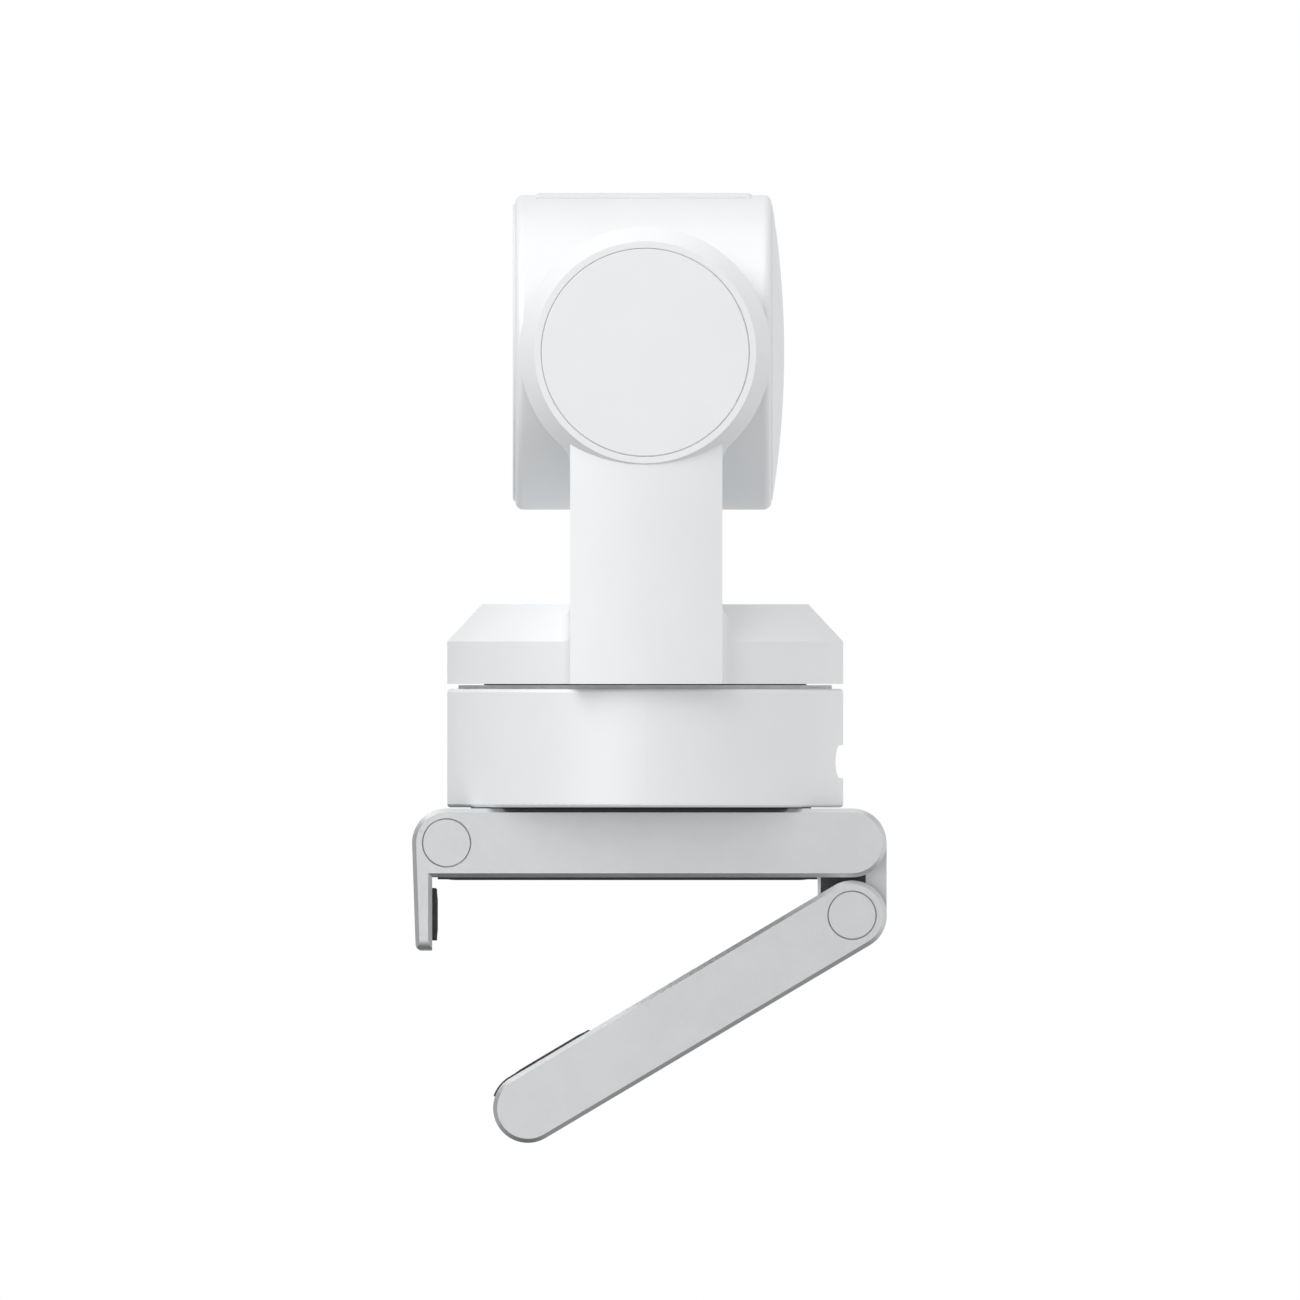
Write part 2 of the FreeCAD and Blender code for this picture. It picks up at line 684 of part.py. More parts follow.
carve(yoke, "X", [((0.0, d.tilt_z), d.hub_cap + d.hub_seam)],
      (d.hub_face - 1.4, d.hub_face + 1.0))
carve(yoke, "Z", [rectangle((24.6, 27.2), (-5.0, 5.0))], (33.0, d.table_top + 2.0))
plate_spots = [(13.1 * s, 13.1 * q) for s in (1, -1) for q in (1, -1)]
grow(yoke, "Z", [(spot, 2.3) for spot in plate_spots], (30.6, d.table_top - 1.0))
carve(yoke, "Z", [(spot, 0.9) for spot in plate_spots], (29.0, 35.0))

plate = body("turntable_plate")
spin(plate, "Z", [
    (2.5, 28.8), (21.5, 28.8), (21.5, 28.1), (23.6, 28.1), (23.6, 28.8), (26.8, 28.8),
    (26.8, 30.6), (6.0, 30.6), (6.0, 33.0), (2.5, 33.0),
])
carve(plate, "Z", [(spot, 1.0) for spot in plate_spots], (28.0, 31.0))
carve(plate, "Z", [rectangle((17.0, 20.5), (-5.0, 5.0))], (28.0, 31.0))

plate_screws = []
for spot in plate_spots:
    plate_screws.append(rod("Z", spot, 0.9, (28.7, 34.6)))
    plate_screws.append(rod("Z", spot, 1.8, (28.2, 28.8)))
node("turntable_screws", join(*plate_screws))

node("pan_shaft", rod("Z", (0.0, 0.0), 2.5, (18.0, 34.0)))
node("pan_rotor", tube("Z", (0.0, 0.0), 6.3, 2.5, (18.2, 25.2)))

arm_cover = body("arm_cover")
grow(arm_cover, "X", [((0.0, d.tilt_z), 15.8)], (d.arm_in, d.arm_in + 1.5))
grow(arm_cover, "X", [rectangle((d.arm_front + 1.9, d.arm_rear - 1.9),
                                (d.table_top + 0.9, d.tilt_z))], (d.arm_in, d.arm_in + 1.5))
carve(arm_cover, "X", [((0.0, d.tilt_z), 6.5)], (d.arm_in - 1.0, d.arm_in + 3.0))

node("tilt_bearing", tube("X", (0.0, d.tilt_z), 6.5, d.shaft_radius + 0.06,
                          (d.arm_in, d.arm_in + 1.5)))
node("tilt_motor", tube("X", (0.0, d.tilt_z), 15.2, 9.0, (24.4, 28.4)))
node("arm_board", box((24.4, 25.4), (-7.0, 7.0), (44.0, 59.0)))
node("arm_flex", box((25.6, 25.85), (-4.0, 4.0), (31.4, 60.0)))

cap = body("hub_cap")
spin(cap, "X", [
    (d.hub_face - 1.4, 0.0), (d.hub_face, 0.0), (d.hub_face, d.hub_cap - 0.15),
    (d.hub_face - 0.15, d.hub_cap), (d.hub_face - 1.4, d.hub_cap),
], d.tilt_z)

# Camera head, drawn about the origin and then lifted onto the tilt axis ----------------------------


def head_part(thing):
    bind(thing, "Placement.Base.x", d.head_x)
    bind(thing, "Placement.Base.z", d.tilt_z)
    return thing


rim = d.head_radius - d.head_edge
head_in = d.head_radius - d.head_wall
boss_reach = d.boss_face - d.head_x
head = body("head_shell")
spin(head, "Y", [
    (0.0, -17.2), (rim, -17.2), (rim, d.head_front, d.head_edge),
    (d.head_radius, d.head_front + d.head_edge),
    (d.head_radius, d.head_rear - d.head_edge, d.head_edge), (rim, d.head_rear),
    (20.6, d.head_rear), (20.6, 17.0), (0.0, 17.0),
])
grow(head, "X", [((0.0, 0.0), d.boss_radius)], (15.0, boss_reach))
spin(head, "Y", [(0.0, -20.0), (head_in, -20.0), (head_in, 17.0), (0.0, 17.0)], groove=True)
carve(head, "X", [((0.0, 0.0), d.shaft_radius)], (10.0, boss_reach + 1.0))
head_part(head)

rear_cover = body("rear_cover")
dome_rim = 21.65
dome_foot = (d.dome_radius * d.dome_radius - dome_rim * dome_rim).root() \
    + d.dome_apex - d.dome_radius
spin(rear_cover, "Y", [
    (0.0, 17.0), (20.5, 17.0), (20.5, d.head_rear), (dome_rim, d.head_rear),
    (dome_rim, dome_foot, d.dome_radius), (0.0, d.dome_apex),
])
head_part(rear_cover)

bezel = body("front_bezel")
spin(bezel, "Y", [
    (19.6, -17.2), (19.6, d.face_front), (d.face_radius - 0.25, d.face_front),
    (d.face_radius, d.face_front + 0.25), (d.face_radius, -17.2),
])
head_part(bezel)

face = body("face_glass")
spin(face, "Y", [(10.7, -17.9), (10.7, d.face_front + 0.1), (19.5, d.face_front + 0.1),
                 (19.5, -17.9)])
carve(face, "Y", [((15.2, 0.0), 0.8)], (-21.0, -15.0))
carve(face, "Y", [((0.0, s * 15.2), 0.5) for s in (1, -1)], (-21.0, -15.0))
head_part(face)

face_tray = body("face_tray")
spin(face_tray, "Y", [(10.7, -17.2), (10.7, -17.8), (19.5, -17.8), (19.5, -17.2)])
carve(face_tray, "Y", [((15.2, 0.0), 0.8)], (-21.0, -15.0))
head_part(face_tray)

head_part(node("status_light", lifted(rod("Y", (15.2, 0.0), 0.75, (-19.2, -16.6)))))

lens_ring = body("lens_ring")
spin(lens_ring, "Y", [(9.3, -18.9), (9.3, -19.15), (9.5, -19.35), (10.4, -19.35),
                      (10.6, -19.15), (10.6, -17.2), (9.3, -17.2)])
head_part(lens_ring)

lens_cover = rod("Y", (0.0, 0.0), 9.2, (-18.7, -17.9))
head_part(node("lens_window", lens_cover))

barrel = body("lens_barrel")
spin(barrel, "Y", [
    (d.lens_radius, -5.0), (d.lens_radius, -17.4), (7.4, -17.4), (7.4, -16.8), (6.9, -16.8),
    (6.9, -13.4), (6.05, -13.4), (6.05, -5.0),
])
head_part(barrel)

front_lens = body("front_lens")
spin(front_lens, "Y", [(0.0, -13.6), (0.0, -16.9, 15.25), (6.8, -15.3), (6.8, -13.6)])
head_part(front_lens)

carrier = tube("Y", (0.0, 0.0), 6.0, 4.6, (-12.6, -6.4))
head_part(node("focus_carrier", carrier))
focus_lens = body("focus_lens")
spin(focus_lens, "Y", [(0.0, -8.2), (0.0, -11.4, 10.85), (4.55, -10.4), (4.55, -8.2)])
head_part(focus_lens)

holder = body("sensor_holder")
grow(holder, "Y", [rectangle((-10.0, 10.0), (-10.0, 10.0)), ((0.0, 0.0), 6.4)], (-5.0, -3.4))
grow(holder, "Y", [rectangle((-10.0, 10.0), (-10.0, 10.0)),
                   rectangle((-8.4, 8.4), (-8.4, 8.4))], (-3.4, -0.6))
head_part(holder)
head_part(node("image_sensor", lifted(box((-6.4, 6.4), (-1.9, -0.6), (-5.2, 5.2)))))
head_part(node("sensor_board", lifted(box((-11.0, 11.0), (-0.6, 0.6), (-11.0, 11.0)))))

sink = body("heat_sink")
grow(sink, "Y", [rectangle((-11.0, 11.0), (-11.0, 11.0))], (0.6, 2.2))
for k in range(-3, 4):
    grow(sink, "Y", [rectangle((-11.0, 11.0), (3.2 * k - 0.5, 3.2 * k + 0.5))], (2.2, 8.5))
head_part(sink)

frame = body("head_frame")
grow(frame, "Y", [((0.0, 0.0), 21.1), ((0.0, 0.0), d.lens_radius)], (-8.4, -6.6))
grow(frame, "Y", [rectangle((15.2, 17.8), (-7.0, 7.0))], (-6.6, 9.0))
carve(frame, "X", [((0.0, 0.0), d.shaft_radius)], (10.0, 24.0))
head_part(frame)

head_board = body("head_board")
grow(head_board, "Y", [((0.0, 0.0), 20.0)], (12.6, 13.8))
head_part(head_board)
head_part(node("head_chips", join(
    box((-9.0, 1.0), (11.2, 12.6), (-5.0, 5.0)), box((4.0, 11.0), (11.6, 12.6), (-9.0, -2.0)),
    box((-2.0, 5.0), (11.5, 12.6), (8.0, 13.0)))))

node("tilt_shaft", rod("X", (0.0, d.tilt_z), d.shaft_radius, (15.2 + d.head_x, 28.2)))
node("tilt_rotor", tube("X", (0.0, d.tilt_z), 8.7, d.shaft_radius, (24.6, 28.2)))


def crown(part, kind, angle, low, high):
    """Turn the top panel's low profile a few degrees either side of the top of the head."""
    sketch = outline(part, "X", 0.0, [[
        (d.panel_front, low), (d.panel_rear, low), (d.panel_rear, d.head_radius),
        (d.panel_rear - 0.4, high), (d.panel_front + 0.4, high), (d.panel_front, d.head_radius),
    ]])
    arch = part.newObject(f"PartDesign::{kind}", "Arch")
    arch.Profile = sketch
    arch.ReferenceAxis = (sketch, ["H_Axis"])
    arch.Midplane = True
    arch.Angle = angle
    doc.recompute()


crown(head, "Groove", 24.4, d.head_radius - 0.4, d.head_radius + 1.0)
top_panel = body("top_panel")
crown(top_panel, "Revolution", 24.0, d.head_radius - 0.4, d.head_radius + d.panel_rise)
head_part(top_panel)

# Check and write ------------------------------------------------------------------------------
doc.recompute()
for thing in doc.Objects:
    if "Invalid" in thing.State or "Error" in thing.State:
        raise RuntimeError(f"{thing.Label} did not compute: {thing.State}")
for thing in nodes:
    if thing.Shape.isNull() or not thing.Shape.isValid() or not thing.Shape.Solids:
        raise RuntimeError(f"{thing.Label} has no valid solid")
os.makedirs("parts", exist_ok=True)
for thing in nodes:
    thing.Shape.exportStep(f"parts/{thing.Label}.step")
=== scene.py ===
"""Looks for the pan-tilt webcam on its folding monitor clip: materials, small trim, light, camera.

Metres, in the same frame as the CAD: +Z up, the lens looks along -Y, the side arm is on +X.
"""

import json
import math

import bmesh
import bpy
from mathutils import Matrix, Vector


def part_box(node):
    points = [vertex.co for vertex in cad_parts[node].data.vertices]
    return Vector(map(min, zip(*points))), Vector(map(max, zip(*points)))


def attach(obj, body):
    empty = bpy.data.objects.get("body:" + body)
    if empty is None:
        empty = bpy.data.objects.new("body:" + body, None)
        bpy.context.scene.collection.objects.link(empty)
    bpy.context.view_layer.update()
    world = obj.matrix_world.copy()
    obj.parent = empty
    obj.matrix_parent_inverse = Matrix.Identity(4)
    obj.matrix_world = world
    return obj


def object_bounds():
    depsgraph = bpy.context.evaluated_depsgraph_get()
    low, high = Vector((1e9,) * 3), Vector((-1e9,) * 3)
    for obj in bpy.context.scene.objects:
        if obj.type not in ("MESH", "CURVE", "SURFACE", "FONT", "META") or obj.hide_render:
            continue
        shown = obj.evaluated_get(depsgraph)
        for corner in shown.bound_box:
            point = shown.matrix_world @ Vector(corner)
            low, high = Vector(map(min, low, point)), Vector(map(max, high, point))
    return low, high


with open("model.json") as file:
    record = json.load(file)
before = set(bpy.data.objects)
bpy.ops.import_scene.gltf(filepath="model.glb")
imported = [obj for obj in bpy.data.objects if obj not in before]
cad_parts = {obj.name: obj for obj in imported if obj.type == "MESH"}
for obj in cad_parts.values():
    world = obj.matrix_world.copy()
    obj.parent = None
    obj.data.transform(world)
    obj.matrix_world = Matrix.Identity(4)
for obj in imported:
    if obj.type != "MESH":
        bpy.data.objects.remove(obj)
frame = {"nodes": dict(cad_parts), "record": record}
CAD_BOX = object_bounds()
NODES = frame["nodes"]
MM = 0.001

# Material building blocks -----------------------------------------------------------------------


class Shader:
    """A small wrapper round one material's node tree."""

    def __init__(self, name):
        self.material = bpy.data.materials.new(name)
        self.material.use_nodes = True
        self.tree = self.material.node_tree
        self.surface = self.tree.nodes["Principled BSDF"]
        self.place = self.add("ShaderNodeTexCoord").outputs["Object"]

    def add(self, kind, **settings):
        made = self.tree.nodes.new(kind)
        for key, value in settings.items():
            setattr(made, key, value)
        return made

    def link(self, source, target):
        self.tree.links.new(source, target)

    def set(self, **values):
        for key, value in values.items():
            self.surface.inputs[key.replace("_", " ")].default_value = value

    def noise(self, scale, detail=4.0, rough=0.55, stretch=None):
        """Noise in metres of object space, optionally stretched along an axis."""
        made = self.add("ShaderNodeTexNoise")
        made.inputs["Scale"].default_value = scale
        made.inputs["Detail"].default_value = detail
        made.inputs["Roughness"].default_value = rough
        source = self.place
        if stretch:
            mapping = self.add("ShaderNodeMapping")
            mapping.inputs["Scale"].default_value = stretch
            self.link(source, mapping.inputs["Vector"])
            source = mapping.outputs["Vector"]
        self.link(source, made.inputs["Vector"])
        return made.outputs["Fac"]

    def ramp(self, fac, stops):
        made = self.add("ShaderNodeValToRGB")
        ramp = made.color_ramp
        while len(ramp.elements) < len(stops):
            ramp.elements.new(0.5)
        for element, (spot, colour) in zip(ramp.elements, stops):
            element.position = spot
            element.color = (*colour, 1.0)
        self.link(fac, made.inputs["Fac"])
        return made.outputs["Color"]

    def colour(self, fac, dark, light, low=0.35, high=0.65):
        self.link(self.ramp(fac, [(low, dark), (high, light)]), self.surface.inputs["Base Color"])

    def roughness(self, fac, smooth, rough):
        """Spread the middle of a noise, where nearly all of it lies, between two roughnesses."""
        made = self.add("ShaderNodeMapRange")
        made.inputs["From Min"].default_value = 0.3
        made.inputs["From Max"].default_value = 0.7
        made.inputs["To Min"].default_value = smooth
        made.inputs["To Max"].default_value = rough
        self.link(fac, made.inputs["Value"])
        self.link(made.outputs["Result"], self.surface.inputs["Roughness"])

    def bump(self, fac, depth, strength):
        """Raise the surface by depth metres where fac is 1, on top of any earlier bump."""
        made = self.add("ShaderNodeBump")
        made.inputs["Distance"].default_value = depth
        made.inputs["Strength"].default_value = strength
        self.link(fac, made.inputs["Height"])
        normal = self.surface.inputs["Normal"]
        if normal.is_linked:
            self.link(normal.links[0].from_socket, made.inputs["Normal"])
        self.link(made.outputs["Normal"], normal)


def grey(level, tint=(1.0, 1.0, 1.0)):
    return tuple(level * t for t in tint)


def moulded_white():
    """Satin white polycarbonate: a fine spark-eroded grain and very faint cloudiness."""
    s = Shader("moulded_white")
    s.colour(s.noise(90.0, 3.0), grey(0.85, (0.982, 1.0, 1.017)), grey(0.87, (0.984, 1.0, 1.015)),
             0.3, 0.7)
    s.roughness(s.noise(700.0, 2.0), 0.42, 0.50)
    s.bump(s.noise(5200.0, 2.0, 0.6), 0.000012, 0.35)
    s.set(IOR=1.55, Specular_IOR_Level=0.8, Coat_Weight=0.35, Coat_Roughness=0.42)
    return s.material


def clip_metal():
    """Bead-blasted, anodised aluminium: a fine sparkle grain and faint tone drift."""
    s = Shader("clip_metal")
    s.colour(s.noise(140.0, 3.0), grey(0.60, (0.978, 1.0, 1.02)), grey(0.63, (0.98, 1.0, 1.018)),
             0.3, 0.7)
    s.roughness(s.noise(2500.0, 3.0), 0.30, 0.42)
    s.bump(s.noise(7000.0, 3.0, 0.7), 0.000006, 0.35)
    s.set(Metallic=0.85)
    return s.material


def turned_metal(name, level, tint, smooth=0.2, rough=0.34, axis="Y"):
    """Lathe-turned metal with fine rings round an axis."""
    s = Shader(name)
    stretch = {"X": (9000.0, 300.0, 300.0), "Y": (300.0, 9000.0, 300.0),
               "Z": (300.0, 300.0, 9000.0)}[axis]
    rings = s.noise(1.0, 3.0, 0.6, stretch)
    s.colour(rings, grey(level * 0.9, tint), grey(level, tint))
    s.roughness(rings, smooth, rough)
    s.bump(rings, 0.000006, 0.4)
    s.set(Metallic=1.0)
    return s.material


def rubber():
    """Matt black silicone rubber with a fine leathery grain."""
    s = Shader("rubber")
    s.colour(s.noise(400.0, 4.0), grey(0.030), grey(0.044, (1.0, 1.0, 1.03)))
    s.roughness(s.noise(1500.0, 3.0), 0.62, 0.8)
    cells = s.add("ShaderNodeTexVoronoi", feature="DISTANCE_TO_EDGE")
    cells.inputs["Scale"].default_value = 2600.0
    s.link(s.place, cells.inputs["Vector"])
    s.bump(cells.outputs["Distance"], 0.00003, 0.5)
    return s.material


def moulded(name, level, tint=(1.0, 1.0, 1.0), smooth=0.42, rough=0.55):
    """Moulded plastic with a visible spark grain."""
    s = Shader(name)
    s.colour(s.noise(260.0, 4.0), grey(level * 0.86, tint), grey(level, tint))
    s.roughness(s.noise(1800.0, 3.0), smooth, rough)
    s.bump(s.noise(4200.0, 2.0, 0.6), 0.00002, 0.5)
    return s.material


def circuit():
    """Green solder mask over copper: traces as a faint raised grid."""
    s = Shader("circuit")
    bricks = s.add("ShaderNodeTexBrick")
    bricks.inputs["Scale"].default_value = 420.0
    bricks.inputs["Color1"].default_value = (0.010, 0.110, 0.045, 1.0)
    bricks.inputs["Color2"].default_value = (0.016, 0.150, 0.062, 1.0)
    bricks.inputs["Mortar"].default_value = (0.03, 0.23, 0.10, 1.0)
    bricks.inputs["Mortar Size"].default_value = 0.018
    s.link(s.place, bricks.inputs["Vector"])
    s.link(bricks.outputs["Color"], s.surface.inputs["Base Color"])
    s.roughness(s.noise(900.0), 0.28, 0.4)
    s.bump(bricks.outputs["Fac"], 0.00002, 0.5)
    return s.material


def winding():
    """Copper windings under varnish."""
    s = Shader("winding")
    coils = s.noise(1.0, 2.0, 0.5, (260.0, 260.0, 5200.0))
    s.colour(coils, (0.20, 0.075, 0.03), (0.62, 0.27, 0.11))
    s.roughness(coils, 0.25, 0.45)
    s.bump(coils, 0.00006, 0.8)
    s.set(Metallic=0.9)
    return s.material


def sintered():
    """Nickel-plated sintered magnet."""
    s = Shader("sintered")
    s.colour(s.noise(900.0, 5.0), grey(0.30), grey(0.42, (1.0, 0.99, 0.96)))
    s.roughness(s.noise(1600.0, 4.0), 0.3, 0.5)
    s.bump(s.noise(3200.0, 3.0), 0.00002, 0.5)
    s.set(Metallic=0.95)
    return s.material


def cast_alloy():
    """Die-cast aluminium: dull and slightly mottled."""
    s = Shader("cast_alloy")
    s.colour(s.noise(500.0, 5.0), grey(0.42), grey(0.55, (1.0, 1.0, 1.01)))
    s.roughness(s.noise(1400.0, 4.0), 0.42, 0.6)
    s.bump(s.noise(2600.0, 4.0, 0.7), 0.00004, 0.6)
    s.set(Metallic=0.9)
    return s.material


def face_black():
    """Polished black front glass with a hint of orange-peel."""
    s = Shader("face_black")
    s.colour(s.noise(120.0), grey(0.004), grey(0.007, (1.0, 1.0, 1.1)))
    s.roughness(s.noise(60.0), 0.05, 0.09)
    s.bump(s.noise(180.0, 1.0), 0.000004, 0.3)
    s.set(Coat_Weight=0.6, Coat_Roughness=0.03)
    return s.material


def coated_glass():
    """Lens glass with a faint blue-green and magenta anti-reflection coat, drawn as a painted
    reflection: its colour shifts with the viewing angle and is lighter at grazing angles.
    """
    s = Shader("coated_glass")
    # Painted reflection of the coat: the base colour runs from blue-green facing the view, through
    # magenta, to pale violet at grazing angles.
    facing = s.add("ShaderNodeLayerWeight")
    facing.inputs["Blend"].default_value = 0.35
    s.link(s.ramp(facing.outputs["Facing"], [(0.0, (0.16, 0.30, 0.34)), (0.5, (0.22, 0.16, 0.42)),
                                             (1.0, (0.5, 0.42, 0.55))]),
           s.surface.inputs["Base Color"])
    s.roughness(s.noise(40.0), 0.015, 0.03)
    s.set(IOR=1.6, Alpha=0.38, Coat_Weight=1.0, Coat_Roughness=0.02)
    return s.material


def film():
    """Amber polyimide film with copper tracks showing through."""
    s = Shader("film")
    tracks = s.add("ShaderNodeTexWave", bands_direction="Y")
    tracks.inputs["Scale"].default_value = 320.0
    s.link(s.place, tracks.inputs["Vector"])
    s.colour(tracks.outputs["Fac"], (0.33, 0.13, 0.03), (0.52, 0.26, 0.07), 0.4, 0.6)
    s.roughness(s.noise(500.0), 0.25, 0.35)
    return s.material


def light_pipe():
    """Frosted light pipe, faintly green from inside."""
    s = Shader("light_pipe")
    s.colour(s.noise(900.0), (0.62, 0.82, 0.70), (0.74, 0.90, 0.80))
    s.roughness(s.noise(1500.0), 0.3, 0.4)
    s.set(Emission_Color=(0.35, 0.95, 0.55, 1.0), Emission_Strength=0.25)
    return s.material


MATERIALS = {
    "shell": moulded_white(),
    "clip_metal": clip_metal(),
    "trim_metal": turned_metal("trim_metal", 0.60, (1.0, 1.0, 1.02)),
    "rubber": rubber(),
    "dark_plastic": moulded("dark_plastic", 0.05, (1.0, 1.0, 1.04)),
    "gap_plastic": moulded("gap_plastic", 0.86),
    "steel": turned_metal("steel", 0.62, (1.0, 0.99, 0.97), 0.22, 0.36, "X"),
    "brass": turned_metal("brass", 0.80, (1.0, 0.76, 0.38), 0.2, 0.36, "Z"),
    "circuit": circuit(),
    "chip": moulded("chip", 0.035, (1.0, 1.0, 1.05), 0.35, 0.5),
    "motor": winding(),
    "magnet": sintered(),
    "bearing": moulded("bearing", 0.72, (1.0, 0.98, 0.92)),
    "face_black": face_black(),
    "lens_glass": coated_glass(),
    "cast_alloy": cast_alloy(),
    "flex": film(),
    "light": light_pipe(),
}

for entry in frame["record"]["subparts"]:
    shape = NODES[entry["node"]]
    shape.data.materials.clear()
    shape.data.materials.append(MATERIALS[entry["material_slot"]])

# Small parts that the CAD leaves out, in millimetres ---------------------------------------------
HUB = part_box("hub_cap")
TILT_Z = 0.5 * (HUB[0].z + HUB[1].z) / MM
HEAD_X = -1.15
SHARP_ANGLE = math.radians(35)
MERGE_DISTANCE = 0.0005

# Anti-slip ribs on the rubber pads
RIBS_PER_SIDE = 4
RIB_GAP = 2.9
RIB_WIDTH = 1.1
RIB_HEIGHT = 0.12

# The leg at rest: its angle below the bar and its pin's centre
LEG_TURN = math.radians(30.74)
LEG_ALONG = Vector((0.0, -math.cos(LEG_TURN), -math.sin(LEG_TURN)))
LEG_UP = Vector((0.0, -math.sin(LEG_TURN), math.cos(LEG_TURN)))
LEG_PIN = Vector((0.0, 30.3, -5.25))

# Black steps in the lens mouth: four treads down from the rim
BAFFLE_Y = -17.43
BAFFLE_INNER = 7.05
BAFFLE_OUTER = 9.1
BAFFLE_DEPTH = 0.42
FIRST_TREAD = 8.7
TREADS = 4
TREAD_WIDTH = 0.45
TREAD_DROP = 0.09

# Contacts on the tongue of the USB-C socket
CONTACTS = 12
CONTACT_PITCH = 0.5
FIRST_CONTACT_X = -2.75
CONTACT_Y = 23.6
PORT_Z = 17.25
TONGUE_HALF = 0.345
CONTACT_WIDTH = 0.26
CONTACT_HEIGHT = 0.05
CONTACT_LENGTH = 3.6

# Screws on the arm's inner cover, as an outline of (radius, height)
SCREW_X = 22.58
SCREW_Y = 0.15
SCREW_HEIGHTS = (43.6, 58.6)
SCREW = [(0.0, 0.0), (1.15, 0.0), (1.15, 0.14), (1.0, 0.32), (0.66, 0.38), (0.55, 0.36),
         (0.5, 0.1), (0.0, 0.1)]


def piece(name, fill, material, body):
    """Make an object from a function that fills a bmesh in millimetres, and ride it on a body."""
    shape = bmesh.new()
    fill(shape)
    bmesh.ops.remove_doubles(shape, verts=shape.verts, dist=MERGE_DISTANCE)
    bmesh.ops.recalc_face_normals(shape, faces=shape.faces)
    bmesh.ops.scale(shape, vec=(MM, MM, MM), verts=shape.verts)
    mesh = bpy.data.meshes.new(name)
    shape.to_mesh(mesh)
    shape.free()
    mesh.shade_smooth()
    mesh.set_sharp_from_angle(angle=SHARP_ANGLE)
    made = bpy.data.objects.new(name, mesh)
    made.data.materials.append(material)
    bpy.context.scene.collection.objects.link(made)
    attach(made, body)


def lathe(shape, profile, place, steps):
    """Sweep a closed outline of (radius, height) round +Z, then place it with a matrix."""
    rings = []
    for k in range(steps):
        c = math.cos(2 * math.pi * k / steps)
        s = math.sin(2 * math.pi * k / steps)
        rings.append([shape.verts.new(place @ Vector((r * c, r * s, h))) for r, h in profile])
    for k in range(steps):
        here, there = rings[k], rings[(k + 1) % steps]
        for i in range(len(profile)):
            j = (i + 1) % len(profile)
            shape.faces.new((here[i], there[i], there[j], here[j]))


def bar(shape, place, width, height, length):
    """A rounded rib along +Y with its foot on the XY plane, tapered off at both ends."""
    section = [(-0.5, 0.0), (-0.36, 0.7), (0.0, 1.0), (0.36, 0.7), (0.5, 0.0)]
    stations = [(-0.5 * length, 0.15), (-0.5 * length + width, 1.0),
                (0.5 * length - width, 1.0), (0.5 * length, 0.15)]
    rows = []
    for y, scale in stations:
        rows.append([shape.verts.new(place @ Vector((u * width, y, v * height * scale)))
                     for u, v in section])
    for row, after in zip(rows, rows[1:]):
        for i in range(len(section)):
            j = (i + 1) % len(section)
            shape.faces.new((row[i], row[j], after[j], after[i]))
    shape.faces.new(rows[0])
    shape.faces.new(rows[-1])


def frame_at(origin, up, along):
    """Matrix with +Z along up and +Y along along, at an origin in millimetres."""
    z = Vector(up).normalized()
    x = Vector(along).cross(z).normalized()
    y = z.cross(x)
    turn = Matrix((x, y, z)).transposed().to_4x4()
    return Matrix.Translation(Vector(origin)) @ turn


def ribs(centre, up, along, length):
    """A fill function for a row of anti-slip ribs side by side across X."""
    def fill(shape):
        for k in range(-RIBS_PER_SIDE, RIBS_PER_SIDE + 1):
            spot = Vector(centre) + Vector((k * RIB_GAP, 0.0, 0.0))
            bar(shape, frame_at(spot, up, along), RIB_WIDTH, RIB_HEIGHT, length)
    return fill


def lens_baffle(shape):
    """Stepped black ring between the lens barrel's mouth and the window."""
    steps = [(BAFFLE_INNER, 0.0), (BAFFLE_OUTER, 0.0), (BAFFLE_OUTER, BAFFLE_DEPTH)]
    for k in range(TREADS):
        radius = FIRST_TREAD - TREAD_WIDTH * k
        steps.append((radius, BAFFLE_DEPTH - TREAD_DROP * k))
        steps.append((radius, BAFFLE_DEPTH - TREAD_DROP * (k + 1)))
    steps.append((BAFFLE_INNER, BAFFLE_DEPTH - TREAD_DROP * TREADS))
    lathe(shape, steps, frame_at((HEAD_X, BAFFLE_Y, TILT_Z), (0, -1, 0), (1, 0, 0)), 96)


def contacts(shape):
    """Contact strips on both faces of the USB-C tongue, tapered off at their tips."""
    for side in (1, -1):
        for k in range(CONTACTS):
            spot = (FIRST_CONTACT_X + CONTACT_PITCH * k, CONTACT_Y, PORT_Z + TONGUE_HALF * side)
            bar(shape, frame_at(spot, (0, 0, side), (0, 1, 0)),
                CONTACT_WIDTH, CONTACT_HEIGHT, CONTACT_LENGTH)


def arm_screws(shape):
    """Two small socket-head screws that hold the arm's inner cover."""
    for z in SCREW_HEIGHTS:
        lathe(shape, SCREW, frame_at((SCREW_X, SCREW_Y, z), (-1, 0, 0), (0, 0, 1)), 48)


piece("rest_ribs", ribs((0, -2.6, 0.02), (0, 0, -1), (0, 1, 0), 53.0), MATERIALS["rubber"], "clip")
piece("lip_ribs", ribs((0, -30.49, -5.2), (0, 1, 0), (0, 0, 1), 6.6), MATERIALS["rubber"], "clip")
piece("grip_ribs", ribs(LEG_PIN + 48.4 * LEG_ALONG + 5.33 * LEG_UP, LEG_UP, LEG_ALONG, 12.0),
      MATERIALS["rubber"], "leg")
piece("lens_baffle", lens_baffle, MATERIALS["dark_plastic"], "head")
piece("usb_contacts", contacts, MATERIALS["brass"], "base")
piece("arm_screws", arm_screws, MATERIALS["steel"], "yoke")

